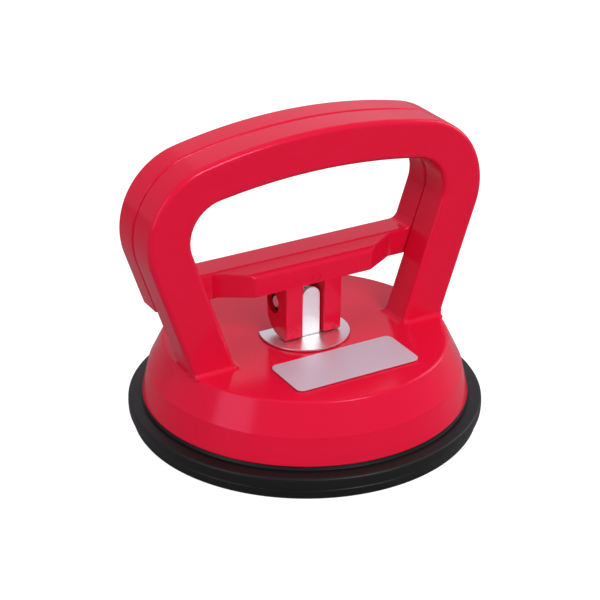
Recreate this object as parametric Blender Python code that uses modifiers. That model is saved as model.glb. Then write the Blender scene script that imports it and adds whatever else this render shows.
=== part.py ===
"""A hand vacuum lifter: a rubber cup under a moulded bell with a fixed handle, and a cam lever
that doubles the handle. Closing the lever pulls the middle of the cup up and makes the vacuum.

Metres, +Z up, +X along the handle, front at -Y, origin under the middle of the cup's lip.
"""
import math

import bmesh
import bpy
from mathutils import Matrix

# Clearances
RUN = 0.0003                  # between pieces that touch, slide or turn on each other
STEM_SIDE_PLAY = 0.00075      # between the stem bracket and each cam leg
SEAM = 0.0003                 # between the two halves of the handle when shut

# Bell of the housing, from its bottom edge up
BELL_RADIUS = 0.05524
BELL_HEIGHT = 0.01946
BELL_WALL = 0.0030
BELL_SHOULDER_HEIGHT = 0.00922
BELL_SHOULDER_INSET = 0.00228
BELL_TOP_INSET = 0.00727
BELL_EDGE_ROUND = 0.0011
BOSS_WALL = 0.0030
BOSS_DEPTH = 0.0110           # from the bell's top face down
RIB_COUNT = 8
RIB_THICK = 0.0020
RIB_DEPTH = 0.0080            # from the bell's top face down

# Handle loop, shared by the fixed half and the lever; heights are above the bell's top face
FOOT_INSET = 0.00064          # foot's outer corner inside the bell's top edge
FOOT_SINK = 0.0025            # how far the feet run into the bell's top wall
LEG_LEAN = 0.3375             # outward run of a leg for each unit of height
LEG_WIDTH = 0.01549
GRIP_HEIGHT = 0.0763
GRIP_DEPTH = 0.0140
OUTER_CORNER = 0.0256
INNER_CORNER = 0.0126
OUTER_ARCH = 0.1895
INNER_ARCH = 0.2130
FRONT_Y = -0.01125
REAR_Y = 0.01210
SEAM_Y = 0.00100
EDGE_ROUND = 0.0018
CORE_WALL = 0.0026
CORE_RIB = 0.0018
CORE_RIB_PITCH = 0.0200

# Lever's crossbar, nose and cam legs; heights are above the bell's top face
BAR_BOTTOM = 0.0198
BAR_TOP = 0.0292
WINDOW_CORNER = 0.0030
NOSE_BOTTOM = 0.0205
NOSE_TOP = 0.0284
NOSE_Y = -0.00597
NOSE_ROUND = 0.0014
NOSE_SIDE_PLAY = 0.0043       # between the nose's root and each handle leg
NOSE_TAPER = 0.0124
CAM_LEG_THICK = 0.0065
CAM_HEIGHT = 0.0111           # pin's axis above the cam's flat foot
CAM_REACH_FRONT = 0.0087
CAM_CORNER = 0.0012
CAM_LIFT = 0.00433            # stem travel for each radian of lever
OPEN_ANGLE = math.radians(70)
PIN_Y = 0.0031
PIN_RADIUS = 0.0021
CLIP_WIDTH = 0.0010
CLIP_THICK = 0.0008
CLIP_RECESS = 0.0026          # depth of the recess in each cam leg's outer face
PIN_SET_IN = 0.0008           # pin's end inside the leg's outer face

# Wear plate
PLATE_RADIUS = 0.0153
PLATE_THICK = 0.0007
PLATE_Y = 0.0006
PLATE_CHORD_Y = 0.0063

# Stem bracket, a folded U channel
STEM_WIDTH = 0.0066
STEM_SHEET = 0.0012
STEM_AHEAD = 0.0071           # web's front face ahead of the pin
TONGUE_ABOVE = 0.0060         # web's rounded top above the pin
EYE_WALL = 0.0015
SLOT_PLAY = 0.0004
BRACKET_FOOT = 0.0085

# Rubber cup, core plate and rivets
CUP_FLANGE = 0.00476          # flange beyond the bell
CUP_SEAT_Z = 0.00964
CUP_RIM_Z = 0.00800
CUP_STEP_Z = 0.0036
CUP_LIP_INSET = 0.0017
CUP_LIP_WIDTH = 0.0045
CUP_COLLAR = 0.0030
CUP_COLLAR_TOP = 0.0128
CUP_WALL = 0.0032
DISH_RISE = 0.0056
CORE_RADIUS = 0.0210
CORE_THICK = 0.0020
RIVET_RADIUS = 0.0016
RIVET_HEAD = 0.0026
RIVET_HEAD_RISE = 0.0012
RIVET_SINK = 0.0007
RIVET_OUT = 0.0047            # rivet's axis outside the bracket's side
RIVET_SPREAD = 0.0034         # half the distance between two rivets of a foot

# Nameplate
LABEL_LENGTH = 0.0456
LABEL_WIDTH = 0.0195
LABEL_THICK = 0.0004
LABEL_CORNER = 0.0025
LABEL_Y = -0.02625

TURN_STEPS = 80
SMALL_STEPS = 32

# Levels and places that follow from the sizes above
BELL_BOTTOM_Z = CUP_SEAT_Z + RUN
BELL_TOP_Z = BELL_BOTTOM_Z + BELL_HEIGHT
BELL_TOP_RADIUS = BELL_RADIUS - BELL_TOP_INSET
PLATE_Z = BELL_TOP_Z + RUN
PLATE_TOP_Z = PLATE_Z + PLATE_THICK
PIN_Z = PLATE_TOP_Z + RUN + CAM_HEIGHT
CUP_RADIUS = BELL_RADIUS + CUP_FLANGE
CUP_LIP_RADIUS = CUP_RADIUS - CUP_LIP_INSET
DISH_OUTER = CUP_LIP_RADIUS - CUP_LIP_WIDTH
CUP_MIDDLE_TOP_Z = DISH_RISE + CUP_WALL
CORE_Z = CUP_MIDDLE_TOP_Z + RUN
BRACKET_Z = CORE_Z + CORE_THICK + RUN
STEM_FRONT_Y = PIN_Y - STEM_AHEAD
EYE_RADIUS = PIN_RADIUS + RUN + EYE_WALL
STEM_REAR_Y = PIN_Y + EYE_RADIUS
CAM_LEG_IN = STEM_WIDTH / 2 + STEM_SIDE_PLAY
CAM_LEG_OUT = CAM_LEG_IN + CAM_LEG_THICK
SLOT_HALF = STEM_WIDTH / 2 + SLOT_PLAY

UPRIGHT = Matrix.Rotation(math.pi / 2, 4, "X")          # a drawing in X and Z
SIDEWAYS = Matrix(((0, 0, 1, 0), (1, 0, 0, 0), (0, 1, 0, 0), (0, 0, 0, 1)))   # a drawing in Y and Z

for old in list(bpy.data.objects):
    bpy.data.objects.remove(old)

model = bpy.data.collections.new("vacuum_lifter")
cutters = bpy.data.collections.new("cutters")
for group in (model, cutters):
    bpy.context.scene.collection.children.link(group)


def finish(name, colour, roughness, metallic=0.0):
    """A plain material for one piece."""
    found = bpy.data.materials.get(name) or bpy.data.materials.new(name)
    found.use_nodes = True
    shader = found.node_tree.nodes["Principled BSDF"]
    shader.inputs["Base Color"].default_value = (*colour, 1.0)
    shader.inputs["Roughness"].default_value = roughness
    shader.inputs["Metallic"].default_value = metallic
    return found


RED_ABS = finish("red_abs", (0.72, 0.012, 0.03), 0.28)
BLACK_RUBBER = finish("black_rubber", (0.012, 0.012, 0.013), 0.5)
BRIGHT_STEEL = finish("bright_steel", (0.80, 0.81, 0.83), 0.25, 1.0)
LABEL_FOIL = finish("label_foil", (0.70, 0.66, 0.72), 0.35, 0.6)


def keep(piece, material):
    """Put a finished piece in the model with its material, shaded smooth with crisp edges."""
    for group in piece.users_collection:
        group.objects.unlink(piece)
    model.objects.link(piece)
    piece.data.materials.clear()
    piece.data.materials.append(material)
    piece.data.shade_smooth()
    piece.data.set_sharp_from_angle(angle=math.radians(35))
    return piece


def solid(name, loops, low, high, turn=None, edge=0.0):
    """The flat drawing in loops, made solid between two distances along its own normal.

    A drawing in X and Z faces -Y, one in Y and Z faces +X, and one in X and Y faces +Z.
    """
    drawing = bpy.data.curves.new(name, "CURVE")
    drawing.dimensions = "2D"
    drawing.fill_mode = "BOTH"
    drawing.extrude = (high - low) / 2 - edge
    drawing.bevel_depth = edge
    drawing.bevel_resolution = 1
    drawing.offset = -edge
    for loop in loops:
        spline = drawing.splines.new("POLY")
        spline.points.add(len(loop) - 1)
        spline.use_cyclic_u = True
        for point, (across, up) in zip(spline.points, loop):
            point.co = (across, up, 0.0, 1.0)
    guide = bpy.data.objects.new(name + "_drawing", drawing)
    cutters.objects.link(guide)
    bpy.context.view_layer.update()
    seen = guide.evaluated_get(bpy.context.evaluated_depsgraph_get())
    mesh = bpy.data.meshes.new_from_object(seen)
    bpy.data.objects.remove(guide)
    body = bmesh.new()
    body.from_mesh(mesh)
    bmesh.ops.remove_doubles(body, verts=body.verts, dist=1e-5)
    bmesh.ops.dissolve_limit(body, angle_limit=0.001, verts=body.verts, edges=body.edges)
    bmesh.ops.recalc_face_normals(body, faces=body.faces)
    place = Matrix.Translation((0, 0, (low + high) / 2))
    bmesh.ops.transform(body, matrix=(turn or Matrix()) @ place, verts=body.verts)
    body.to_mesh(mesh)
    body.free()
    piece = bpy.data.objects.new(name, mesh)
    cutters.objects.link(piece)
    return piece


def front_view(name, loops, front, rear, edge=0.0):
    """A drawing in X and Z, solid from y = front to y = rear."""
    return solid(name, loops, -rear, -front, UPRIGHT, edge)


def side_view(name, loops, low, high, edge=0.0):
    """A drawing in Y and Z, solid from x = low to x = high."""
    return solid(name, loops, low, high, SIDEWAYS, edge)


def turned(name, profile, steps=TURN_STEPS, place=None):
    """A closed profile of (radius, height), outer side first and downwards, turned about Z."""
    mesh = bpy.data.meshes.new(name)
    body = bmesh.new()
    dots = [body.verts.new((radius, 0.0, height)) for radius, height in profile]
    ends_on_axis = profile[0][0] == 0.0 and profile[-1][0] == 0.0
    for first, second in zip(dots, dots[1:] + ([] if ends_on_axis else dots[:1])):
        body.edges.new((first, second))
    body.to_mesh(mesh)
    body.free()
    guide = bpy.data.objects.new(name + "_profile", mesh)
    cutters.objects.link(guide)
    screw = guide.modifiers.new("Turn", "SCREW")
    screw.steps = steps
    screw.render_steps = steps
    screw.use_merge_vertices = True
    screw.merge_threshold = 0.00001
    bpy.context.view_layer.update()
    seen = guide.evaluated_get(bpy.context.evaluated_depsgraph_get())
    made = bpy.data.meshes.new_from_object(seen)
    bpy.data.objects.remove(guide)
    body = bmesh.new()
    body.from_mesh(made)
    bmesh.ops.recalc_face_normals(body, faces=body.faces)
    bmesh.ops.transform(body, matrix=place or Matrix(), verts=body.verts)
    body.to_mesh(made)
    body.free()
    piece = bpy.data.objects.new(name, made)
    cutters.objects.link(piece)
    return piece


def round_bar(name, radius, low, high, axis="Z", centre=(0.0, 0.0), steps=SMALL_STEPS):
    """A cylinder from low to high along X or Z; centre is its place in the other two directions."""
    mesh = bpy.data.meshes.new(name)
    body = bmesh.new()
    bmesh.ops.create_cone(body, cap_ends=True, segments=steps, radius1=radius, radius2=radius,
                          depth=high - low)
    middle = (low + high) / 2
    if axis == "X":
        place = Matrix.Translation((middle, *centre)) @ Matrix.Rotation(math.pi / 2, 4, "Y")
    else:
        place = Matrix.Translation((*centre, middle))
    bmesh.ops.transform(body, matrix=place, verts=body.verts)
    body.to_mesh(mesh)
    body.free()
    piece = bpy.data.objects.new(name, mesh)
    cutters.objects.link(piece)
    return piece


def block(name, low, high, spin=0.0):
    """A box between two corners, turned about Z by spin."""
    mesh = bpy.data.meshes.new(name)
    body = bmesh.new()
    bmesh.ops.create_cube(body, size=1.0)
    size = [b - a for a, b in zip(low, high)]
    middle = [(a + b) / 2 for a, b in zip(low, high)]
    place = Matrix.Rotation(spin, 4, "Z") @ Matrix.Translation(middle) @ Matrix.Diagonal((*size, 1.0))
    bmesh.ops.transform(body, matrix=place, verts=body.verts)
    body.to_mesh(mesh)
    body.free()
    piece = bpy.data.objects.new(name, mesh)
    cutters.objects.link(piece)
    return piece


def combine(piece, other, operation):
    """Join, cut or intersect with an EXACT boolean; the other solid stays as a hidden guide."""
    step = piece.modifiers.new(operation.title() + " " + other.name, "BOOLEAN")
    step.operation = operation
    step.solver = "EXACT"
    step.object = other
    other.hide_render = True
    other.display_type = "WIRE"


def join(piece, *others):
    for other in others:
        combine(piece, other, "UNION")


def cut(piece, *others):
    for other in others:
        combine(piece, other, "DIFFERENCE")


def arc(centre, radius, start, end, steps):
    """Points along an arc between two angles, both ends included."""
    return [
        (centre[0] + radius * math.cos(start + (end - start) * step / steps),
         centre[1] + radius * math.sin(start + (end - start) * step / steps))
        for step in range(steps + 1)
    ]


def rounded(points, radii, steps=3):
    """A closed outline with the corner at each point rounded by its radius; 0 keeps it sharp."""
    made = []
    for index, (point, radius) in enumerate(zip(points, radii)):
        if not radius:
            made.append(point)
            continue
        before = points[index - 1]
        after = points[(index + 1) % len(points)]
        to_before = math.atan2(before[1] - point[1], before[0] - point[0])
        to_after = math.atan2(after[1] - point[1], after[0] - point[0])
        turn = (to_after - to_before + math.pi) % (2 * math.pi) - math.pi
        middle = to_before + turn / 2
        reach = radius / abs(math.sin(turn / 2))
        centre = (point[0] + reach * math.cos(middle), point[1] + reach * math.sin(middle))
        sweep = math.copysign(math.pi - abs(turn), turn)
        start = middle + math.pi + sweep / 2
        made += arc(centre, radius, start, start - sweep, steps)
    return made


def loop_half(foot, corner, arch, top, bottom, grow=0.0, steps=12):
    """Half of a handle outline, from the foot up a leaning leg, round the corner to the middle.

    foot is the half width at the bell's top face and grow offsets the whole outline outwards.
    """
    slope = math.hypot(1.0, LEG_LEAN)
    along = (LEG_LEAN / slope, 1.0 / slope)
    outward = (1.0 / slope, -LEG_LEAN / slope)
    foot += grow * slope
    corner += grow
    arch += grow
    top += grow
    arch_z = top - arch
    start_x = foot - corner * outward[0]
    start_z = BELL_TOP_Z - corner * outward[1] - arch_z
    half = start_x * along[0] + start_z * along[1]
    gap = start_x ** 2 + start_z ** 2 - (arch - corner) ** 2
    climb = math.sqrt(half * half - gap) - half
    centre = (start_x + climb * along[0], start_z + climb * along[1] + arch_z)
    meet = math.atan2(centre[1] - arch_z, centre[0])
    points = [(foot + LEG_LEAN * (bottom - BELL_TOP_Z), bottom)]
    points += arc(centre, corner, math.atan2(outward[1], outward[0]), meet, steps)
    points += arc((0.0, arch_z), arch, meet, math.pi / 2, steps // 2)[1:]
    return points


def whole(half):
    """Both halves of an outline that ends on the middle line."""
    return half + [(-x, z) for x, z in reversed(half[:-1])]


OUTER = dict(foot=BELL_TOP_RADIUS - FOOT_INSET, corner=OUTER_CORNER, arch=OUTER_ARCH,
             top=BELL_TOP_Z + GRIP_HEIGHT)
INNER = dict(foot=BELL_TOP_RADIUS - FOOT_INSET - LEG_WIDTH, corner=INNER_CORNER, arch=INNER_ARCH,
             top=BELL_TOP_Z + GRIP_HEIGHT - GRIP_DEPTH)


def core_pocket(name, bottom, front, rear):
    """The hollow inside one half of the handle, a wall in from its outline, split by thin ribs."""
    outer = whole(loop_half(**OUTER, bottom=bottom, grow=-CORE_WALL))
    inner = whole(loop_half(**INNER, bottom=bottom, grow=CORE_WALL, steps=8))
    pocket = front_view(name, [outer + inner[::-1]], front, rear)
    reach = OUTER["foot"] + OUTER_CORNER
    shelf = OUTER["top"] - OUTER_CORNER
    level = bottom + CORE_RIB_PITCH
    number = 0
    while level < shelf:
        rib = block(f"{name}_rib_{number}", (-reach, front - RUN, level),
                    (reach, rear + RUN, level + CORE_RIB))
        cut(pocket, rib)
        level += CORE_RIB_PITCH
        number += 1
    for side in range(-1, 2):
        middle = side * CORE_RIB_PITCH
        rib = block(f"{name}_rib_{number}", (middle - CORE_RIB / 2, front - RUN, shelf),
                    (middle + CORE_RIB / 2, rear + RUN, OUTER["top"]))
        cut(pocket, rib)
        number += 1
    return pocket


def make_housing():
    """The bell, open underneath, with the front half of the handle moulded on it."""
    shoulder = (BELL_RADIUS - BELL_SHOULDER_INSET, BELL_BOTTOM_Z + BELL_SHOULDER_HEIGHT)
    outside = [(0.0, BELL_TOP_Z), (BELL_TOP_RADIUS, BELL_TOP_Z), shoulder, (BELL_RADIUS, BELL_BOTTOM_Z)]
    inside = [(BELL_RADIUS - BELL_WALL, BELL_BOTTOM_Z), (shoulder[0] - BELL_WALL, shoulder[1]),
              (BELL_TOP_RADIUS - BELL_WALL, BELL_TOP_Z - BELL_WALL), (0.0, BELL_TOP_Z - BELL_WALL)]
    radii = [0, BELL_EDGE_ROUND, 0, 0, 0, 0, 0, 0]
    housing = turned("housing", rounded(outside + inside, radii))

    boss = block("boss", (-SLOT_HALF - BOSS_WALL, STEM_FRONT_Y - SLOT_PLAY - BOSS_WALL, BELL_TOP_Z - BOSS_DEPTH),
                 (SLOT_HALF + BOSS_WALL, STEM_REAR_Y + SLOT_PLAY + BOSS_WALL, BELL_TOP_Z - BELL_WALL / 2))
    join(housing, boss)
    for number in range(RIB_COUNT):
        turn = 2 * math.pi * (number + 0.5) / RIB_COUNT
        rib = block(f"bell_rib_{number}", (SLOT_HALF, -RIB_THICK / 2, BELL_TOP_Z - RIB_DEPTH),
                    (BELL_TOP_RADIUS - BELL_WALL / 2, RIB_THICK / 2, BELL_TOP_Z - BELL_WALL / 2), turn)
        join(housing, rib)

    foot_z = BELL_TOP_Z - FOOT_SINK
    outline = whole(loop_half(**OUTER, bottom=foot_z)) + whole(loop_half(**INNER, bottom=foot_z))[::-1]
    handle = front_view("fixed_handle", [outline], FRONT_Y, REAR_Y, EDGE_ROUND)
    behind = block("behind_seam", (-CUP_RADIUS * 2, SEAM_Y - SEAM / 2, 0.0),
                   (CUP_RADIUS * 2, REAR_Y * 2, OUTER["top"] * 2))
    cut(handle, behind)
    cut(handle, core_pocket("fixed_core", BELL_TOP_Z + CORE_WALL, FRONT_Y + CORE_WALL, REAR_Y))
    join(housing, handle)

    slot = block("stem_slot", (-SLOT_HALF, STEM_FRONT_Y - SLOT_PLAY, 0.0),
                 (SLOT_HALF, STEM_REAR_Y + SLOT_PLAY, BELL_TOP_Z + BELL_WALL))
    cut(housing, slot)
    return keep(housing, RED_ABS)


def cam_point(angle):
    """Where the cam rests on the plate with the lever at angle, in Y and Z from the pin."""
    height = CAM_HEIGHT - CAM_LIFT * angle
    return (height * math.sin(angle) - CAM_LIFT * math.cos(angle),
            -height * math.cos(angle) - CAM_LIFT * math.sin(angle))


def make_lever():
    """The rear half of the handle: a closed loop whose crossbar carries a nose and two cam legs."""
    bottom = BELL_TOP_Z + BAR_BOTTOM
    outer = whole(loop_half(**OUTER, bottom=bottom))
    side = loop_half(**INNER, bottom=BELL_TOP_Z + BAR_TOP, steps=8)
    corner = rounded([(0.0, side[0][1]), side[0], side[1]], [0, WINDOW_CORNER, 0])[1:-1]
    window = whole(corner + side[1:])
    lever = front_view("lever", [outer, window], FRONT_Y, REAR_Y, EDGE_ROUND)
    cut(lever, block("ahead_of_seam", (-CUP_RADIUS * 2, FRONT_Y * 2, 0.0),
                     (CUP_RADIUS * 2, SEAM_Y + SEAM / 2, OUTER["top"] * 2)))

    nose_low = BELL_TOP_Z + NOSE_BOTTOM
    nose_high = BELL_TOP_Z + NOSE_TOP
    inside_bar = (SEAM_Y + REAR_Y) / 2
    root = INNER["foot"] + LEG_LEAN * BAR_BOTTOM - NOSE_SIDE_PLAY
    tip = root - NOSE_TAPER
    section = rounded([(NOSE_Y, nose_low), (inside_bar, nose_low), (inside_bar, BELL_TOP_Z + BAR_TOP - RUN),
                       (SEAM_Y, BELL_TOP_Z + BAR_TOP - RUN), (NOSE_Y, nose_high)],
                      [0, 0, 0, 0, NOSE_ROUND])
    nose = side_view("nose", [section], -root, root)
    plan = [(-root, inside_bar * 2), (-root, SEAM_Y), (-tip, NOSE_Y), (tip, NOSE_Y),
            (root, SEAM_Y), (root, inside_bar * 2)]
    combine(nose, solid("nose_plan", [plan], 0.0, nose_high * 2), "INTERSECT")
    join(lever, nose)

    rise = BELL_TOP_Z + BAR_TOP - NOSE_ROUND * 2 - PIN_Z
    steps = 8
    rear = [cam_point(OPEN_ANGLE * step / steps) for step in range(steps + 1)]
    back = rear[-1][0] + RUN * 2
    front = rounded([(NOSE_Y - PIN_Y, rise), (-CAM_REACH_FRONT, -CAM_HEIGHT), rear[0]],
                    [0, CAM_CORNER, 0])
    profile = front + rear[1:] + [(back, 0.0), (back, rise)]
    profile = [(PIN_Y + y, PIN_Z + z) for y, z in profile]
    for side_name, low in (("left", -CAM_LEG_OUT), ("right", CAM_LEG_IN)):
        leg = side_view(f"cam_leg_{side_name}", [profile], low, low + CAM_LEG_THICK)
        join(lever, leg)

    pocket = core_pocket("lever_core", BELL_TOP_Z + BAR_TOP + CORE_WALL, SEAM_Y - CORE_WALL,
                         REAR_Y - CORE_WALL)
    cut(lever, pocket)
    centre = (PIN_Y, PIN_Z)
    cut(lever, round_bar("pin_bore", PIN_RADIUS + RUN, -CAM_LEG_OUT * 2, CAM_LEG_OUT * 2, "X", centre))
    recess = PIN_RADIUS + RUN + CLIP_WIDTH + RUN
    floor = CAM_LEG_OUT - CLIP_RECESS
    cut(lever, round_bar("clip_recess_left", recess, -CAM_LEG_OUT - RUN * 4, -floor, "X", centre))
    cut(lever, round_bar("clip_recess_right", recess, floor, CAM_LEG_OUT + RUN * 4, "X", centre))
    return keep(lever, RED_ABS)


def make_pin_and_clips():
    """A plain steel pin, held in each cam leg's recess by a push-on ring."""
    centre = Matrix.Translation((0.0, PIN_Y, PIN_Z)) @ Matrix.Rotation(math.pi / 2, 4, "Y")
    end = CAM_LEG_OUT - PIN_SET_IN
    dome = PIN_RADIUS / 5
    pin = turned("pivot_pin", [(0.0, end), (PIN_RADIUS - dome, end), (PIN_RADIUS, end - dome),
                               (PIN_RADIUS, -end + dome), (PIN_RADIUS - dome, -end), (0.0, -end)],
                 SMALL_STEPS, centre)
    made = [keep(pin, BRIGHT_STEEL)]
    inner = PIN_RADIUS + RUN
    seat = CAM_LEG_OUT - CLIP_RECESS + RUN
    for side, low in (("left", -seat - CLIP_THICK), ("right", seat)):
        ring = [(inner + CLIP_WIDTH, low + CLIP_THICK), (inner + CLIP_WIDTH, low),
                (inner, low), (inner, low + CLIP_THICK)]
        made.append(keep(turned(f"pin_clip_{side}", ring, SMALL_STEPS, centre), BRIGHT_STEEL))
    return made


def make_wear_plate():
    """A steel disc cut off behind, with a slot open to the rear for the stem."""
    reach = math.asin((PLATE_CHORD_Y - PLATE_Y) / PLATE_RADIUS)
    edge = arc((0.0, PLATE_Y), PLATE_RADIUS, math.pi - reach, 2 * math.pi + reach, 48)
    slot = [(SLOT_HALF, PLATE_CHORD_Y), (SLOT_HALF, STEM_FRONT_Y - SLOT_PLAY),
            (-SLOT_HALF, STEM_FRONT_Y - SLOT_PLAY), (-SLOT_HALF, PLATE_CHORD_Y)]
    return keep(solid("wear_plate", [edge + slot], PLATE_Z, PLATE_TOP_Z), BRIGHT_STEEL)


RIVET_X = STEM_WIDTH / 2 + RIVET_OUT
RIVET_PLACES = [(x, (STEM_FRONT_Y + STEM_SHEET + STEM_REAR_Y) / 2 + y)
                for x in (-RIVET_X, RIVET_X) for y in (-RIVET_SPREAD, RIVET_SPREAD)]


def make_stem_bracket():
    """A folded U channel: the web is the tongue in front, the sides carry the pin, the feet turn out."""
    half = STEM_WIDTH / 2
    tip = PIN_Z + TONGUE_ABOVE - half
    web_rear = STEM_FRONT_Y + STEM_SHEET
    tongue = [(-half, BRACKET_Z), (half, BRACKET_Z)] + arc((0.0, tip), half, 0.0, math.pi, 16)
    bracket = front_view("stem_bracket", [tongue], STEM_FRONT_Y, web_rear)
    flange = [(web_rear - RUN, BRACKET_Z), (STEM_REAR_Y, BRACKET_Z)]
    flange += arc((PIN_Y, PIN_Z), EYE_RADIUS, 0.0, math.radians(100), 10)
    flange += [(web_rear - RUN, tip)]
    for side, low in (("left", -half), ("right", half - STEM_SHEET)):
        join(bracket, side_view(f"flange_{side}", [flange], low, low + STEM_SHEET))
        spread = -1 if low < 0 else 1
        ends = sorted((spread * (half - STEM_SHEET / 2), spread * (half + BRACKET_FOOT)))
        join(bracket, block(f"foot_{side}", (ends[0], web_rear - RUN, BRACKET_Z),
                            (ends[1], STEM_REAR_Y, BRACKET_Z + STEM_SHEET)))
    cut(bracket, round_bar("stem_eye", PIN_RADIUS + RUN, -STEM_WIDTH, STEM_WIDTH, "X", (PIN_Y, PIN_Z)))
    for number, place in enumerate(RIVET_PLACES):
        cut(bracket, round_bar(f"foot_hole_{number}", RIVET_RADIUS + RUN, BRACKET_Z - STEM_SHEET,
                               BRACKET_Z + STEM_SHEET * 2, "Z", place))
    return keep(bracket, BRIGHT_STEEL)


def make_core_plate():
    """The steel disc bonded on the middle of the cup, with countersunk holes for the rivets."""
    plate = round_bar("core_plate", CORE_RADIUS, CORE_Z, CORE_Z + CORE_THICK, steps=TURN_STEPS)
    for number, place in enumerate(RIVET_PLACES):
        cut(plate, round_bar(f"core_hole_{number}", RIVET_RADIUS + RUN, CORE_Z - CORE_THICK,
                             CORE_Z + CORE_THICK * 2, "Z", place))
        cut(plate, round_bar(f"core_sink_{number}", RIVET_HEAD + RUN, CORE_Z - CORE_THICK,
                             CORE_Z + RIVET_SINK + RUN, "Z", place))
    return keep(plate, BRIGHT_STEEL)


def make_rivets():
    """Four solid rivets, a set head under the core plate and a domed head on the bracket's foot."""
    made = []
    head_z = BRACKET_Z + STEM_SHEET + RUN
    dome = [(RIVET_HEAD * math.sin(turn), head_z + RIVET_HEAD_RISE * math.cos(turn))
            for turn in (math.pi / 2 * step / 4 for step in range(5))]
    profile = dome + [(RIVET_RADIUS, head_z), (RIVET_RADIUS, CORE_Z + RIVET_SINK),
                      (RIVET_HEAD, CORE_Z + RIVET_SINK), (RIVET_HEAD, CORE_Z), (0.0, CORE_Z)]
    for number, place in enumerate(RIVET_PLACES, start=1):
        spot = Matrix.Translation((*place, 0.0))
        made.append(keep(turned(f"rivet_{number}", profile, 24, spot), BRIGHT_STEEL))
    return made


def dish(radius):
    """Height of the cup's underside with the vacuum drawn: flat in the middle, down to the lip."""
    share = (radius - CORE_RADIUS) / (DISH_OUTER - CORE_RADIUS)
    share = min(max(share, 0.0), 1.0)
    return DISH_RISE * (1 + math.cos(math.pi * share)) / 2


def make_rubber_cup():
    """The cup: a lipped flange, a collar inside the bell, and a dished middle under the core plate."""
    collar_out = BELL_RADIUS - BELL_WALL - RUN - BELL_SHOULDER_INSET * (
        (CUP_COLLAR_TOP - BELL_BOTTOM_Z) / BELL_SHOULDER_HEIGHT)
    collar_in = collar_out - CUP_COLLAR
    count = 8
    inner_radii = [CORE_RADIUS + (collar_in - CORE_RADIUS) * step / count for step in range(count + 1)]
    top = [(radius, dish(radius) + CUP_WALL) for radius in inner_radii]
    flange = [
        (collar_in, CUP_COLLAR_TOP), (collar_out, CUP_COLLAR_TOP), (collar_out, CUP_SEAT_Z),
        (BELL_RADIUS - CUP_WALL / 5, CUP_SEAT_Z), (BELL_RADIUS, CUP_RIM_Z + CUP_WALL / 4),
        (CUP_RADIUS - CUP_WALL / 8, CUP_RIM_Z + CUP_WALL / 12), (CUP_RADIUS, CUP_RIM_Z),
        (CUP_RADIUS - CUP_WALL / 8, CUP_STEP_Z), (CUP_RADIUS - CUP_WALL / 3, CUP_STEP_Z - CUP_WALL / 10),
        (CUP_LIP_RADIUS, 0.0),
    ]
    lip_radii = [DISH_OUTER + (CORE_RADIUS - DISH_OUTER) * step / count for step in range(count + 1)]
    bottom = [(radius, dish(radius)) for radius in lip_radii]
    profile = [(0.0, CUP_MIDDLE_TOP_Z)] + top + flange + bottom + [(0.0, DISH_RISE)]
    return keep(turned("rubber_cup", profile), BLACK_RUBBER)


def make_nameplate():
    """A thin blank foil plate stuck on the bell in front of the lever."""
    half = LABEL_LENGTH / 2
    low = LABEL_Y - LABEL_WIDTH / 2
    high = LABEL_Y + LABEL_WIDTH / 2
    outline = rounded([(-half, low), (half, low), (half, high), (-half, high)], [LABEL_CORNER] * 4, 5)
    return keep(solid("nameplate", [outline], PLATE_Z, PLATE_Z + LABEL_THICK), LABEL_FOIL)


def axis_empty(name, place, parent=None):
    """An empty on a joint's axis, which carries the pieces that move on it."""
    empty = bpy.data.objects.new(name, None)
    model.objects.link(empty)
    empty.matrix_world = Matrix.Translation(place)
    if parent:
        empty.parent = parent
        empty.matrix_parent_inverse = parent.matrix_world.inverted()
    return empty


def carry(empty, pieces):
    for piece in pieces:
        piece.parent = empty
        piece.matrix_parent_inverse = empty.matrix_world.inverted()


make_housing()
make_rubber_cup()
make_wear_plate()
make_nameplate()

stem_axis = axis_empty("stem_slide", (0.0, 0.0, 0.0))
carry(stem_axis, [make_stem_bracket(), make_core_plate(), *make_rivets(), *make_pin_and_clips()])
lever_axis = axis_empty("lever_hinge", (0.0, PIN_Y, PIN_Z), stem_axis)
carry(lever_axis, [make_lever()])
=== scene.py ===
"""The looks of a hand vacuum lifter: red moulded bell and handle, cam lever, steel stem and rubber cup."""

import math

import bmesh
import bpy
from mathutils import Matrix, Vector


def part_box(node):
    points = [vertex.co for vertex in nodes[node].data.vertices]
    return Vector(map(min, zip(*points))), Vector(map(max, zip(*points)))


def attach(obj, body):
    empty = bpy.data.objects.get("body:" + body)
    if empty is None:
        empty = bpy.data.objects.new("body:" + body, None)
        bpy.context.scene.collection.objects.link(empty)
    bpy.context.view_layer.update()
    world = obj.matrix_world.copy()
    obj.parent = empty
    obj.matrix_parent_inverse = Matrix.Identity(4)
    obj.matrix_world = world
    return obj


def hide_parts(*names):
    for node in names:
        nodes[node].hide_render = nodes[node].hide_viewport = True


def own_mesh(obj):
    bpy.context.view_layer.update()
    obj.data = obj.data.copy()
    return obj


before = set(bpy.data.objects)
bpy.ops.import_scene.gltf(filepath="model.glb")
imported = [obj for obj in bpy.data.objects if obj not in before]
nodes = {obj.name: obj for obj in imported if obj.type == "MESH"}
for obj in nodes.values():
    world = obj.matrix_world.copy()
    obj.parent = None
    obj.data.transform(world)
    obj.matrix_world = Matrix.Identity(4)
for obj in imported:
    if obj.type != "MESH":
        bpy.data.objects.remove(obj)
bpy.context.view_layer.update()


# ---- Studio ---------------------------------------------------------------------------------
# A white table in an even, faintly lilac room. A compact soft lamp high in front lights the part,
# with large dim ones at both sides, overhead and behind.

scene = bpy.context.scene
scene.view_settings.view_transform = "Standard"

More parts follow.
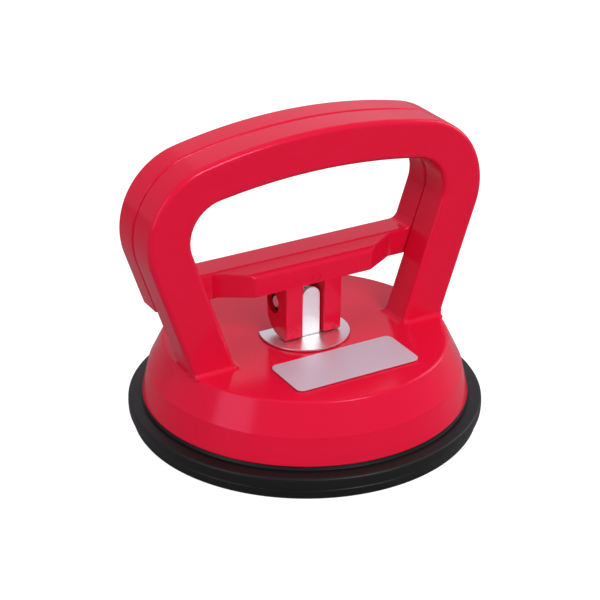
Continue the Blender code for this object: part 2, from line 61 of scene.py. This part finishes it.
lens = bpy.data.cameras.new("camera")
lens.sensor_width = 36.0
lens.lens = 115.28
lens.clip_start = 0.01
camera = bpy.data.objects.new("camera", lens)
scene.collection.objects.link(camera)
camera_place = Vector((-0.28797, -0.49678, 0.32311))
camera_aim = Vector((-0.001517, 0.000873, 0.041444))
camera_roll = math.radians(0.249)
aim = (camera_aim - camera_place).to_track_quat("-Z", "Y").to_matrix().to_4x4()
camera.matrix_world = Matrix.Translation(camera_place) @ aim @ Matrix.Rotation(camera_roll, 4, "Z")
scene.camera = camera


def softbox(name, place, size, power):
    """A rectangular lamp that faces the middle of the part."""
    lamp = bpy.data.lights.new(name, "AREA")
    lamp.shape = "RECTANGLE"
    lamp.size, lamp.size_y = size
    lamp.energy = power
    box = bpy.data.objects.new(name, lamp)
    scene.collection.objects.link(box)
    facing = (Vector((0.0, 0.0, 0.04)) - Vector(place)).to_track_quat("-Z", "Y").to_matrix().to_4x4()
    box.matrix_world = Matrix.Translation(place) @ facing


softbox("overhead_lamp", (0.0, 0.10, 1.10), (0.8, 0.8), 0.65)
softbox("back_lamp", (0.55, 0.95, 0.55), (0.9, 0.5), 0.30)
softbox("front_lamp", (0.15, -0.95, 0.80), (0.45, 0.40), 7.30)
softbox("left_lamp", (-0.95, -0.15, 0.50), (0.5, 0.7), 2.58)
softbox("right_lamp", (0.95, -0.05, 0.50), (0.5, 0.7), 2.86)

room = bpy.data.worlds.new("room")
room.use_nodes = True
scene.world = room
room_sky = room.node_tree.nodes["Background"]
room_path = room.node_tree.nodes.new("ShaderNodeLightPath")
room_tone = room.node_tree.nodes.new("ShaderNodeMix")
room_tone.data_type = "RGBA"
room_level = 0.532
room_tone.inputs[6].default_value = (room_level, room_level * 0.90, room_level * 1.03, 1.0)
room_tone.inputs[7].default_value = (1.0, 1.0, 1.0, 1.0)
room.node_tree.links.new(room_path.outputs["Is Camera Ray"], room_tone.inputs[0])
room.node_tree.links.new(room_tone.outputs[2], room_sky.inputs["Color"])
room_sky.inputs["Strength"].default_value = 1.0

table_mesh = bpy.data.meshes.new("table")
table_form = bmesh.new()
bmesh.ops.create_grid(table_form, x_segments=1, y_segments=1, size=6.0)
table_form.to_mesh(table_mesh)
table_form.free()
table = bpy.data.objects.new("table", table_mesh)
table.location.z = -0.0001
scene.collection.objects.link(table)


# ---- Red moulding plastic -------------------------------------------------------------------
# The bell and the lever are injection moulded in one glossy red ABS, coloured right through. The
# skin has a very fine orange peel, and the gloss is a little uneven where the melt flowed.

class Wire:
    """A value in a material; Python arithmetic on it adds the Math nodes."""

    def __init__(self, finish, socket):
        self.finish = finish
        self.socket = socket

    def math(self, operation, *values):
        return self.finish.node("ShaderNodeMath", {"operation": operation}, dict(enumerate(values)))

    def __add__(self, other):
        return self.math("ADD", self, other)

    def __radd__(self, other):
        return self.math("ADD", other, self)

    def __mul__(self, other):
        return self.math("MULTIPLY", self, other)

    def __rmul__(self, other):
        return self.math("MULTIPLY", other, self)


class Finish:
    """One material, built node by node."""

    def __init__(self, name):
        self.material = bpy.data.materials.new(name)
        self.material.use_nodes = True
        self.tree = self.material.node_tree
        self.shader = self.tree.nodes["Principled BSDF"]

    def put(self, socket, value):
        if isinstance(value, Wire):
            self.tree.links.new(value.socket, socket)
        else:
            socket.default_value = value

    def node(self, kind, settings=None, sockets=None, out=0):
        """A node of any kind: its settings first, then values or links on its sockets."""
        made = self.tree.nodes.new(kind)
        for name, value in (settings or {}).items():
            setattr(made, name, value)
        for name, value in (sockets or {}).items():
            self.put(made.inputs[name], value)
        return Wire(self, made.outputs[out])

    def coat(self, **inputs):
        """Set the shader's sockets, named in lower case with underscores."""
        for name, value in inputs.items():
            self.put(self.shader.inputs[name.replace("_", " ").title()], value)

    def place(self, stretch=(1.0, 1.0, 1.0)):
        """Object coordinates in metres, stretched along X, Y and Z."""
        spot = self.node("ShaderNodeTexCoord", out="Object")
        return self.node("ShaderNodeMapping", sockets={"Vector": spot, "Scale": stretch})

    def noise(self, scale, detail=2.0, rough=0.5, stretch=(1.0, 1.0, 1.0)):
        return self.node("ShaderNodeTexNoise", sockets={
            "Vector": self.place(stretch), "Scale": scale, "Detail": detail, "Roughness": rough})

    def between(self, share, dark, light):
        """A colour from dark to light as share goes from 0 to 1."""
        return self.node("ShaderNodeMix", {"data_type": "RGBA"},
                         {0: share, 6: (*dark, 1.0), 7: (*light, 1.0)}, out=2)

    def bump(self, height, depth, strength=1.0):
        return self.node("ShaderNodeBump", sockets={"Strength": strength, "Distance": depth, "Height": height})


def red_plastic():
    finish = Finish("red_plastic")
    flow = finish.noise(38.0, 3.0)
    peel = finish.noise(330.0, 1.0)
    finish.coat(
        base_color=finish.between(flow, (0.690, 0.0050, 0.0310), (0.750, 0.0070, 0.0380)),
        roughness=0.14 + 0.06 * flow,
        normal=finish.bump(peel, 0.00003, 0.12),
    )
    finish.shader.inputs["IOR"].default_value = 1.50
    finish.shader.inputs["Specular IOR Level"].default_value = 0.28
    finish.shader.inputs["Specular Tint"].default_value = (1.0, 0.50, 0.85, 1.0)
    return finish.material


RED = red_plastic()


# ---- Housing --------------------------------------------------------------------------------
# The bell and the front half of the handle are one moulding. The handle is cored from behind
# between thin ribs, its feet stand on the bell with a small fillet, and the bell is a 3 mm shell.

bell_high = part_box("housing")[1]
lever_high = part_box("lever")[1]
plate_low, plate_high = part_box("wear_plate")

gap = 0.0003
bell_height = 0.01946
bell_top = plate_low.z - gap
bell_bottom = bell_top - bell_height
bell_radius = 0.05524
bell_wall = 0.0030
shoulder_radius = 0.05296
shoulder_z = bell_bottom + 0.00922
top_radius = 0.04797
grip_top = bell_high.z
grip_front = -0.01125
grip_rear = lever_high.y
seam_front = 0.00085
seam_rear = 0.00115
lean = 0.3375
edge_round = 0.0018
slot_half = 0.0037
slot_front = -0.0044
foot_out = 0.04733
foot_in = foot_out - 0.01549
OUTER = dict(foot=foot_out, corner=0.0256, arch=0.1895, top=grip_top)
INNER = dict(foot=foot_in, corner=0.0126, arch=0.2130, top=grip_top - 0.0140)
UPRIGHT = Matrix.Rotation(math.pi / 2, 4, "X")
SIDEWAYS = Matrix(((0, 0, 1, 0), (1, 0, 0, 0), (0, 1, 0, 0), (0, 0, 0, 1)))


def arc(centre, radius, start, end, steps):
    return [
        (centre[0] + radius * math.cos(start + (end - start) * step / steps),
         centre[1] + radius * math.sin(start + (end - start) * step / steps))
        for step in range(steps + 1)
    ]


def rounded(points, radii, steps=5):
    """A closed outline with the corner at each point rounded by its radius; 0 keeps it sharp."""
    made = []
    for index, (point, radius) in enumerate(zip(points, radii)):
        if not radius:
            made.append(point)
            continue
        before = points[index - 1]
        after = points[(index + 1) % len(points)]
        to_before = math.atan2(before[1] - point[1], before[0] - point[0])
        to_after = math.atan2(after[1] - point[1], after[0] - point[0])
        turn = (to_after - to_before + math.pi) % (2 * math.pi) - math.pi
        middle = to_before + turn / 2
        reach = radius / abs(math.sin(turn / 2))
        centre = (point[0] + reach * math.cos(middle), point[1] + reach * math.sin(middle))
        sweep = math.copysign(math.pi - abs(turn), turn)
        start = middle + math.pi + sweep / 2
        made += arc(centre, radius, start, start - sweep, steps)
    return made


def handle_half(foot, corner, arch, top, bottom, grow=0.0, steps=40):
    """Half of a handle outline: up the leaning leg, round the corner and along the arch."""
    slope = math.hypot(1.0, lean)
    along = (lean / slope, 1.0 / slope)
    outward = (1.0 / slope, -lean / slope)
    foot += grow * slope
    corner += grow
    arch += grow
    top += grow
    arch_z = top - arch
    start_x = foot - corner * outward[0]
    start_z = bell_top - corner * outward[1] - arch_z
    half = start_x * along[0] + start_z * along[1]
    apart = start_x ** 2 + start_z ** 2 - (arch - corner) ** 2
    climb = math.sqrt(half * half - apart) - half
    centre = (start_x + climb * along[0], start_z + climb * along[1] + arch_z)
    meet = math.atan2(centre[1] - arch_z, centre[0])
    points = [(foot + lean * (bottom - bell_top), bottom)]
    points += arc(centre, corner, math.atan2(outward[1], outward[0]), meet, steps)
    points += arc((0.0, arch_z), arch, meet, math.pi / 2, steps // 2)[1:]
    return points


def whole(half):
    return half + [(-x, z) for x, z in reversed(half[:-1])]


def shaped(name, mesh):
    piece = bpy.data.objects.new(name, mesh)
    scene.collection.objects.link(piece)
    return piece


def drawn(name, loops, low, high, turn=None, edge=0.0):
    """The flat drawing in loops, made solid between two distances along its own normal."""
    drawing = bpy.data.curves.new(name, "CURVE")
    drawing.dimensions = "2D"
    drawing.fill_mode = "BOTH"
    drawing.extrude = (high - low) / 2 - edge
    drawing.bevel_depth = edge
    drawing.bevel_resolution = 4
    drawing.offset = -edge
    for loop in loops:
        spline = drawing.splines.new("POLY")
        spline.points.add(len(loop) - 1)
        spline.use_cyclic_u = True
        for point, (across, up) in zip(spline.points, loop):
            point.co = (across, up, 0.0, 1.0)
    guide = shaped(name + "_drawing", drawing)
    bpy.context.view_layer.update()
    seen = guide.evaluated_get(bpy.context.evaluated_depsgraph_get())
    mesh = bpy.data.meshes.new_from_object(seen)
    bpy.data.objects.remove(guide)
    form = bmesh.new()
    form.from_mesh(mesh)
    bmesh.ops.remove_doubles(form, verts=form.verts, dist=5e-6)
    bmesh.ops.dissolve_limit(form, angle_limit=0.001, verts=form.verts, edges=form.edges)
    bmesh.ops.recalc_face_normals(form, faces=form.faces)
    place = Matrix.Translation((0, 0, (low + high) / 2))
    bmesh.ops.transform(form, matrix=(turn or Matrix()) @ place, verts=form.verts)
    form.to_mesh(mesh)
    form.free()
    return shaped(name, mesh)


def spun(name, profile, steps=160, place=None):
    """A closed profile of (radius, height), outer side first and downwards, turned about Z."""
    mesh = bpy.data.meshes.new(name)
    form = bmesh.new()
    dots = [form.verts.new((radius, 0.0, height)) for radius, height in profile]
    on_axis = profile[0][0] == 0.0 and profile[-1][0] == 0.0
    for first, second in zip(dots, dots[1:] + ([] if on_axis else dots[:1])):
        form.edges.new((first, second))
    form.to_mesh(mesh)
    form.free()
    guide = shaped(name + "_profile", mesh)
    screw = guide.modifiers.new("Turn", "SCREW")
    screw.steps = steps
    screw.render_steps = steps
    screw.use_merge_vertices = True
    screw.merge_threshold = 0.00001
    bpy.context.view_layer.update()
    seen = guide.evaluated_get(bpy.context.evaluated_depsgraph_get())
    made = bpy.data.meshes.new_from_object(seen)
    bpy.data.objects.remove(guide)
    form = bmesh.new()
    form.from_mesh(made)
    bmesh.ops.recalc_face_normals(form, faces=form.faces)
    bmesh.ops.transform(form, matrix=place or Matrix(), verts=form.verts)
    form.to_mesh(made)
    form.free()
    return shaped(name, made)


def box_between(name, low, high):
    mesh = bpy.data.meshes.new(name)
    form = bmesh.new()
    bmesh.ops.create_cube(form, size=1.0)
    size = [b - a for a, b in zip(low, high)]
    middle = [(a + b) / 2 for a, b in zip(low, high)]
    bmesh.ops.transform(form, matrix=Matrix.Translation(middle) @ Matrix.Diagonal((*size, 1.0)),
                        verts=form.verts)
    form.to_mesh(mesh)
    form.free()
    return shaped(name, mesh)


def rod(name, radius, low, high, centre, steps=48):
    """A cylinder along X, with its axis at centre in Y and Z."""
    mesh = bpy.data.meshes.new(name)
    form = bmesh.new()
    bmesh.ops.create_cone(form, cap_ends=True, segments=steps, radius1=radius, radius2=radius,
                          depth=high - low)
    place = Matrix.Translation(((low + high) / 2, *centre)) @ Matrix.Rotation(math.pi / 2, 4, "Y")
    bmesh.ops.transform(form, matrix=place, verts=form.verts)
    form.to_mesh(mesh)
    form.free()
    return shaped(name, mesh)


def settle(piece, others=(), operation="UNION"):
    """Apply booleans with the other solids at once, and take those solids away."""
    for other in others:
        step = piece.modifiers.new(other.name, "BOOLEAN")
        step.operation = operation
        step.solver = "EXACT"
        step.object = other
        bpy.context.view_layer.update()
        seen = piece.evaluated_get(bpy.context.evaluated_depsgraph_get())
        mesh = bpy.data.meshes.new_from_object(seen)
        piece.modifiers.clear()
        piece.data = mesh
        bpy.data.objects.remove(other)
    return piece


def soften(piece, width, steps=2, angle=30.0):
    """Round every crisp edge of a simple solid."""
    form = bmesh.new()
    form.from_mesh(piece.data)
    bmesh.ops.remove_doubles(form, verts=form.verts, dist=5e-6)
    bmesh.ops.dissolve_limit(form, angle_limit=0.002, verts=form.verts, edges=form.edges)
    crisp = [edge for edge in form.edges
             if len(edge.link_faces) == 2 and edge.calc_face_angle(0.0) > math.radians(angle)]
    bmesh.ops.bevel(form, geom=crisp, offset=width, segments=steps, profile=0.5, affect="EDGES",
                    clamp_overlap=True)
    bmesh.ops.recalc_face_normals(form, faces=form.faces)
    form.to_mesh(piece.data)
    form.free()
    return piece


def trim_at_seam(piece, y, keep_rear, chamfer=0.00085):
    """Cut a piece off flat at y, close the cut and break its edge."""
    form = bmesh.new()
    form.from_mesh(piece.data)
    side = 1.0 if keep_rear else -1.0
    everything = list(form.verts) + list(form.edges) + list(form.faces)
    result = bmesh.ops.bisect_plane(form, geom=everything, plane_co=(0, y, 0), plane_no=(0, -side, 0),
                                    clear_outer=True)
    rim = [item for item in result["geom_cut"] if isinstance(item, bmesh.types.BMEdge)]
    bmesh.ops.triangle_fill(form, use_beauty=True, use_dissolve=False, edges=rim)
    rim = [edge for edge in form.edges if len(edge.link_faces) == 2
           and all(abs(v.co.y - y) < 1e-7 for v in edge.verts)
           and edge.calc_face_angle(0.0) > 0.5]
    bmesh.ops.bevel(form, geom=rim, offset=chamfer, segments=3, profile=0.5, affect="EDGES",
                    clamp_overlap=True)
    bmesh.ops.recalc_face_normals(form, faces=form.faces)
    form.to_mesh(piece.data)
    form.free()
    return piece


def smooth(piece, angle=32.0):
    """Smooth shading with crisp edges kept, and large faces left truly flat."""
    piece.data.shade_smooth()
    piece.data.set_sharp_from_angle(angle=math.radians(angle))
    flat = piece.modifiers.new("Flat faces", "WEIGHTED_NORMAL")
    flat.keep_sharp = True
    flat.weight = 100
    return piece


def dressed(piece, material, body, slot, *stands_for):
    """Give a finished piece its material, its body and the CAD nodes that it stands for."""
    piece.data.materials.clear()
    piece.data.materials.append(material)
    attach(piece, body)
    if stands_for:
        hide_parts(*stands_for)
    return piece


core_wall = 0.0026
core_rib = 0.0018
core_pitch = 0.0200


def core_cells(name, bottom, front, rear):
    """The cored hollow in one half of the handle, as separate cells with thin ribs between."""
    outer = whole(handle_half(**OUTER, bottom=bottom, grow=-core_wall))
    inner = whole(handle_half(**INNER, bottom=bottom, grow=core_wall))
    pocket = drawn(name, [outer + inner[::-1]], -rear, -front, UPRIGHT)
    reach = OUTER["foot"] + OUTER["corner"]
    shelf = OUTER["top"] - OUTER["corner"]
    ribs = []
    level = bottom + core_pitch
    while level < shelf:
        ribs.append(box_between(f"{name}_rib_{len(ribs)}", (-reach, front - gap, level),
                                (reach, rear + gap, level + core_rib)))
        level += core_pitch
    for side in range(-1, 2):
        middle = side * core_pitch
        ribs.append(box_between(f"{name}_rib_{len(ribs)}", (middle - core_rib / 2, front - gap, shelf),
                                (middle + core_rib / 2, rear + gap, OUTER["top"])))
    return settle(pocket, ribs, "DIFFERENCE")


def foot_fillet(side):
    """A small fillet round a handle foot, as a stack of outlines that shrink as they climb the leg."""
    radius = 0.0018
    steps = 8
    mesh = bpy.data.meshes.new("foot_fillet")
    form = bmesh.new()
    layers = [(-0.0020, radius)]
    for step in range(steps + 1):
        turn = math.pi / 2 * step / steps
        layers.append((radius * (1 - math.cos(turn)), radius * (1 - math.sin(turn)) - 0.00004))
    rings = []
    for height, spread in layers:
        shift = lean * height
        low_x = foot_in - spread + shift
        high_x = foot_out - 0.0002 + shift
        corners = [(low_x, grip_front - spread), (high_x, grip_front - spread),
                   (high_x, seam_front + spread), (low_x, seam_front + spread)]
        outline = rounded(corners, [0.0012 + spread, 0.0008, 0.0, 0.0003], 6)
        rings.append([form.verts.new((side * x, y, bell_top + height)) for x, y in outline])
    for low, high in zip(rings, rings[1:]):
        for index in range(len(low)):
            after = (index + 1) % len(low)
            form.faces.new((low[index], low[after], high[after], high[index]))
    form.faces.new(rings[0])
    form.faces.new(rings[-1])
    bmesh.ops.recalc_face_normals(form, faces=form.faces)
    form.to_mesh(mesh)
    form.free()
    return shaped(f"foot_fillet_{side}", mesh)


def make_housing():
    outside = [(0.0, bell_top), (top_radius, bell_top), (shoulder_radius, shoulder_z),
               (bell_radius, bell_bottom)]
    inside = [(bell_radius - bell_wall, bell_bottom), (shoulder_radius - bell_wall, shoulder_z),
              (top_radius - bell_wall, bell_top - bell_wall), (0.0, bell_top - bell_wall)]
    bell = spun("housing_shell", rounded(outside + inside, [0, 0.0011, 0.0010, 0.0003, 0.0003, 0, 0, 0]))

    sunk = bell_top - 0.0024
    outline = whole(handle_half(**OUTER, bottom=sunk)) + whole(handle_half(**INNER, bottom=sunk))[::-1]
    handle = drawn("fixed_handle", [outline], -grip_rear, -grip_front, UPRIGHT, edge_round)
    trim_at_seam(handle, seam_front, keep_rear=False)
    settle(handle, [core_cells("fixed_core", bell_top + core_wall, grip_front + core_wall, grip_rear)],
           "DIFFERENCE")
    settle(bell, [handle, foot_fillet(-1), foot_fillet(1)])

    slot = box_between("stem_slot", (-slot_half, slot_front, bell_bottom),
                       (slot_half, 0.0074, bell_top + bell_wall))
    settle(bell, [slot], "DIFFERENCE")
    return smooth(bell)


dressed(make_housing(), RED, "base", "red_abs", "housing")


# ---- Cam lever ------------------------------------------------------------------------------
# The rear half of the handle, a closed loop in the same red plastic. Its crossbar has a blunt nose
# between the handle legs, and two cam legs go down from the nose to the steel plate.

bar_bottom = bell_top + 0.0198
bar_top = bell_top + 0.0292
nose_front = -0.00597
nose_low = bell_top + 0.0205
nose_high = bell_top + 0.0284
pin_y = 0.0031
pin_z = 0.0418
cam_height = 0.0111
cam_lift = 0.00433
open_angle = math.radians(70)
leg_in = 0.00405
leg_out = 0.01055


def cam_point(angle):
    """Where the cam rests on the plate with the lever at angle, in Y and Z from the pin."""
    height = cam_height - cam_lift * angle
    return (height * math.sin(angle) - cam_lift * math.cos(angle),
            -height * math.cos(angle) - cam_lift * math.sin(angle))


def make_nose():
    """The crossbar's front, sloped on top, with its ends tapered back to the handle legs."""
    inside = (seam_rear + grip_rear) / 2
    root = INNER["foot"] + lean * (bar_bottom - bell_top) - 0.0043
    tip = root - 0.0124
    section = rounded([(nose_front, nose_low), (inside, nose_low), (inside, bar_top - gap),
                       (0.0030, bar_top - gap), (nose_front, nose_high)], [0, 0, 0, 0.002, 0.0022])
    nose = drawn("nose", [section], -root, root, SIDEWAYS)
    plan = [(-root, inside * 2), (-root, 0.0012), (-tip, nose_front), (tip, nose_front),
            (root, 0.0012), (root, inside * 2)]
    settle(nose, [drawn("nose_plan", [plan], 0.0, nose_high * 2)], "INTERSECT")
    return soften(nose, 0.0005, 3, 25.0)


def make_cam_leg(low):
    rise = nose_high - 0.0030 - pin_z
    steps = 24
    rear = [cam_point(open_angle * step / steps) for step in range(steps + 1)]
    back = rear[-1][0] + gap * 2
    front = rounded([(nose_front - pin_y, rise), (-0.0087, -cam_height), rear[0]], [0, 0.0011, 0])
    profile = front + rear[1:] + [(back, 0.0), (back, rise)]
    leg = drawn("cam_leg", [[(pin_y + y, pin_z + z) for y, z in profile]], low, low + leg_out - leg_in,
                SIDEWAYS)
    return soften(leg, 0.00045, 2, 50.0)


def ejector_mark(x, z, y=nose_front, radius=0.0017):
    """The shallow ring that a mould's ejector pin leaves on a front face."""
    inner = radius - 0.00028
    profile = [(radius, 0.0002), (radius, -0.00012), (inner, -0.00012), (inner, 0.0002)]
    return spun("ejector_mark", profile, 48, Matrix.Translation((x, y, z)) @ UPRIGHT)


def make_lever():
    outer = whole(handle_half(**OUTER, bottom=bar_bottom))
    side = handle_half(**INNER, bottom=bar_top)
    corner = rounded([(0.0, side[0][1]), side[0], side[1]], [0, 0.0030, 0])[1:-1]
    lever = drawn("lever_grip", [outer, whole(corner + side[1:])], -grip_rear, -grip_front, UPRIGHT,
                  edge_round)
    trim_at_seam(lever, seam_rear, keep_rear=True)
    settle(lever, [make_nose(), make_cam_leg(-leg_out), make_cam_leg(leg_in)])
    cells = core_cells("lever_core", bar_top + core_wall, seam_rear - core_wall, grip_rear - core_wall)
    centre = (pin_y, pin_z)
    recess_floor = leg_out - 0.0026
    settle(lever, [cells, rod("pin_bore", 0.0024, -0.02, 0.02, centre),
                   rod("recess_left", 0.0037, -leg_out - 0.001, -recess_floor, centre),
                   rod("recess_right", 0.0037, recess_floor, leg_out + 0.001, centre),
                   ejector_mark(0.0006, 0.0522), ejector_mark(-0.0074, 0.0340, -0.00565, 0.0013),
                   ejector_mark(0.0076, 0.0335, -0.00565, 0.0013)], "DIFFERENCE")
    return smooth(lever)


dressed(make_lever(), RED, "lever", "red_abs", "lever")


# ---- Rubber cup -----------------------------------------------------------------------------
# One black rubber moulding. The flange and its collar stay with the bell; the thin middle is
# pulled up into a dish by the stem, so it's a piece of its own with a mesh of its own.

cup_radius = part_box("rubber_cup")[1].x
cup_seat = bell_bottom - gap
lip_radius = cup_radius - 0.0017
dish_outer = lip_radius - 0.0045
dish_inner = 0.0210
dish_rise = 0.0056
cup_wall = 0.0032


def black_rubber():
    finish = Finish("black_rubber")
    bloom = finish.noise(55.0, 4.0, 0.6)
    pores = finish.noise(2600.0, 2.0)
    specks = finish.noise(420.0, 3.0, 0.65)
    finish.coat(
        base_color=finish.between(bloom * 0.8 + specks * 0.2, (0.0042, 0.0044, 0.0042),
                                  (0.0080, 0.0083, 0.0080)),
        roughness=0.34 + 0.14 * bloom,
        normal=finish.bump(pores * 0.6 + specks * 0.4, 0.00006, 0.35),
    )
    finish.shader.inputs["Specular IOR Level"].default_value = 0.24
    return finish.material


RUBBER = black_rubber()


def dish(radius):
    share = min(max((radius - dish_inner) / (dish_outer - dish_inner), 0.0), 1.0)
    return dish_rise * (1 + math.cos(math.pi * share)) / 2


def make_cup_rim():
    collar_out = 0.0512
    collar_in = collar_out - 0.0030
    profile = [
        (collar_in, 0.0128), (collar_out, 0.0128), (collar_out, cup_seat), (0.05460, cup_seat),
        (0.05500, 0.00862), (0.05640, 0.00866), (cup_radius - 0.0001, 0.00826), (cup_radius, 0.0062),
        (cup_radius - 0.0001, 0.0045), (cup_radius - 0.0014, 0.0040), (cup_radius - 0.0009, 0.0034),
        (lip_radius + 0.0003, 0.0009),
        (lip_radius - 0.0003, 0.0), (dish_outer - 0.0002, 0.0), (dish_outer - 0.0040, dish(dish_outer - 0.004)),
        (collar_in - 0.0010, 0.0040),
    ]
    radii = [0.0006, 0.0006, 0.0002, 0.0002, 0.0003, 0.0003, 0.0009, 0,
             0.0004, 0.0002, 0.0003, 0.0004, 0.0005, 0, 0, 0.0006]
    rim = spun("cup_rim", rounded(profile, radii, 4), 192)
    return smooth(rim, 40.0)


def make_cup_middle():
    """The dished middle, with three fine sealing ridges on its underside near the lip."""
    outer = dish_outer - 0.0002
    count = 60
    radii = [outer - outer * step / count for step in range(count)]
    bottom = []
    for radius in radii:
        ridge = sum(max(0.0, 1 - abs(radius - place) / 0.0007) for place in (0.0440, 0.0390, 0.0340))
        bottom.append((radius, dish(radius) - 0.0003 * ridge * (dish(radius) > 0.0003)))
    top = [(radius, dish(radius) + cup_wall * 0.97) for radius in reversed(radii) if radius < 0.0470]
    profile = [(0.0, dish_rise + cup_wall * 0.97)] + top + bottom + [(0.0, dish_rise)]
    return smooth(spun("cup_middle", profile, 144), 40.0)


dressed(make_cup_rim(), RUBBER, "base", "black_rubber", "rubber_cup")
cup_middle = dressed(make_cup_middle(), RUBBER, "base", "black_rubber", "rubber_cup")
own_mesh(cup_middle)


# ---- Wear plate -----------------------------------------------------------------------------
# A stamped disc of bright steel on the bell under the cams, cut off straight behind, where its
# slot opens for the stem. Its edge is slightly rolled over by the die.

plate_radius = plate_high.x
plate_y = plate_low.y + plate_radius


def bright_steel():
    """Polished sheet: fine grinding lines across it and faint smears."""
    finish = Finish("bright_steel")
    lines = finish.noise(260.0, 3.0, 0.6, (1.0, 26.0, 26.0))
    smears = finish.noise(90.0, 3.0)
    finish.coat(
        base_color=finish.between(smears, (0.84, 0.845, 0.86), (0.93, 0.93, 0.94)),
        metallic=1.0,
        roughness=0.30 + 0.16 * lines * smears + 0.08 * smears,
        normal=finish.bump(lines, 0.000012, 0.35),
    )
    return finish.material


STEEL = bright_steel()


def make_wear_plate():
    reach = math.asin((plate_high.y - plate_y) / plate_radius)
    edge = arc((0.0, plate_y), plate_radius, math.pi - reach, 2 * math.pi + reach, 120)
    slot = [(slot_half, plate_high.y), (slot_half, slot_front), (-slot_half, slot_front),
            (-slot_half, plate_high.y)]
    return smooth(soften(drawn("wear_disc", [edge + slot], plate_low.z, plate_high.z), 0.00012, 2, 50.0))


dressed(make_wear_plate(), STEEL, "base", "bright_steel", "wear_plate")


# ---- Stem bracket ---------------------------------------------------------------------------
# Zinc plated sheet folded to a U. The web with its rounded top is the tongue between the cam legs,
# the sides carry the pin, and the feet turn out under the bell to the core plate.

stem_low, stem_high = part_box("stem_bracket")
stem_half = 0.0033
sheet = 0.0012
eye_radius = 0.0039


def zinc_steel():
    """Satin zinc on drawn sheet, with streaks down the draw and a soft mottled spangle."""
    finish = Finish("zinc_steel")
    streaks = finish.noise(330.0, 3.0, 0.6, (18.0, 18.0, 1.0))
    mottle = finish.noise(210.0, 3.0, 0.6)
    finish.coat(
        base_color=finish.between(mottle, (0.91, 0.94, 0.94), (0.96, 0.985, 0.985)),
        metallic=0.82,
        roughness=0.40 + 0.14 * mottle + 0.10 * streaks,
        normal=finish.bump(streaks * 0.6 + mottle * 0.4, 0.000016, 0.4),
    )
    return finish.material


ZINC = zinc_steel()


def make_bracket():
    tip = stem_high.z - stem_half
    web_front = stem_low.y
    web_rear = web_front + sheet
    tongue = [(-stem_half, stem_low.z), (stem_half, stem_low.z)]
    tongue += arc((0.0, tip), stem_half, 0.0, math.pi, 40)
    bracket = soften(drawn("bracket", [tongue], -web_rear, -web_front, UPRIGHT), 0.00018, 2, 50.0)
    flange = [(web_rear - gap, stem_low.z), (stem_high.y, stem_low.z)]
    flange += arc((pin_y, pin_z), eye_radius, 0.0, math.radians(100), 24)
    flange += [(web_rear - gap, tip - gap)]
    sides = []
    for sign in (-1, 1):
        low, high = sorted((sign * stem_half, sign * (stem_half - sheet)))
        sides.append(soften(drawn("bracket_side", [flange], low, high, SIDEWAYS), 0.00015, 2, 50.0))
        low, high = sorted((sign * (stem_half - sheet / 2), sign * stem_high.x))
        sides.append(box_between("bracket_foot", (low, web_rear - gap, stem_low.z),
                                 (high, stem_high.y, stem_low.z + sheet)))
    settle(bracket, sides)
    settle(bracket, [rod("eye", 0.0024, -0.006, 0.006, (pin_y, pin_z))], "DIFFERENCE")
    return smooth(bracket)


dressed(make_bracket(), ZINC, "stem", "zinc_steel", "stem_bracket")


# ---- Pin, clips, core plate and rivets ------------------------------------------------------
# Plain turned and stamped steel. The pin's ends show in the cam legs' recesses inside their push-on
# rings, coloured nearly black as painted shade in the recesses; the core plate and its rivets are
# under the bell, bonded and set for good.

def recess_shade_steel():
    """Nearly black steel for the push-on rings; the dark colour is painted shade in the cam legs' recesses."""
    finish = Finish("recess_shade_steel")
    tone = finish.noise(700.0, 2.0)
    # The near-black base colour is painted shade in the recesses round the pin ends.
    finish.coat(
        base_color=finish.between(tone, (0.030, 0.028, 0.032), (0.075, 0.070, 0.078)),
        metallic=1.0,
        roughness=0.34 + 0.12 * tone,
    )
    return finish.material


RECESS_SHADE_STEEL = recess_shade_steel()

# The push-on rings take the near-black steel that paints the shade in the recesses.
for name, node in nodes.items():
    small = {"pivot_pin": STEEL, "pin_clip_left": RECESS_SHADE_STEEL, "pin_clip_right": RECESS_SHADE_STEEL, "core_plate": ZINC}
    if name in small or name.startswith("rivet_"):
        node.data.materials.clear()
        node.data.materials.append(small.get(name, ZINC))


# ---- Nameplate ------------------------------------------------------------------------------
# A thin foil plate with rounded corners, stuck on the bell ahead of the lever. Its face is satin
# brushed with a faint lilac tone, and it's blank.

label_low, label_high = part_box("nameplate")


def label_foil():
    finish = Finish("label_foil")
    lines = finish.noise(300.0, 3.0, 0.6, (1.0, 30.0, 1.0))
    cast = finish.noise(30.0, 2.0)
    finish.coat(
        base_color=finish.between(cast, (0.60, 0.55, 0.63), (0.70, 0.66, 0.72)),
        metallic=0.35,
        roughness=0.38 + 0.10 * lines,
        normal=finish.bump(lines, 0.00001, 0.3),
    )
    return finish.material


def make_nameplate():
    corners = [(label_low.x, label_low.y), (label_high.x, label_low.y), (label_high.x, label_high.y),
               (label_low.x, label_high.y)]
    outline = rounded(corners, [0.0025] * 4, 12)
    return smooth(soften(drawn("blank_plate", [outline], label_low.z, label_high.z), 0.0001, 2, 50.0))


dressed(make_nameplate(), label_foil(), "base", "label_foil", "nameplate")


# ---- Table top ------------------------------------------------------------------------------
# White laminate. It reads as plain white to the camera and still takes the part's soft shadow.

def table_white():
    finish = Finish("table_white")
    finish.coat(base_color=(0.32, 0.32, 0.32, 1.0), roughness=0.55)
    finish.shader.inputs["Specular IOR Level"].default_value = 0.2
    light_path = finish.node("ShaderNodeLightPath", out="Is Camera Ray")
    lift = finish.node("ShaderNodeEmission", sockets={
        "Color": (1.0, 1.0, 1.0, 1.0), "Strength": light_path * 0.90})
    both = finish.node("ShaderNodeAddShader", sockets={0: Wire(finish, finish.shader.outputs[0]), 1: lift})
    output = finish.tree.nodes["Material Output"]
    finish.tree.links.new(both.socket, output.inputs["Surface"])
    return finish.material


table.data.materials.append(table_white())
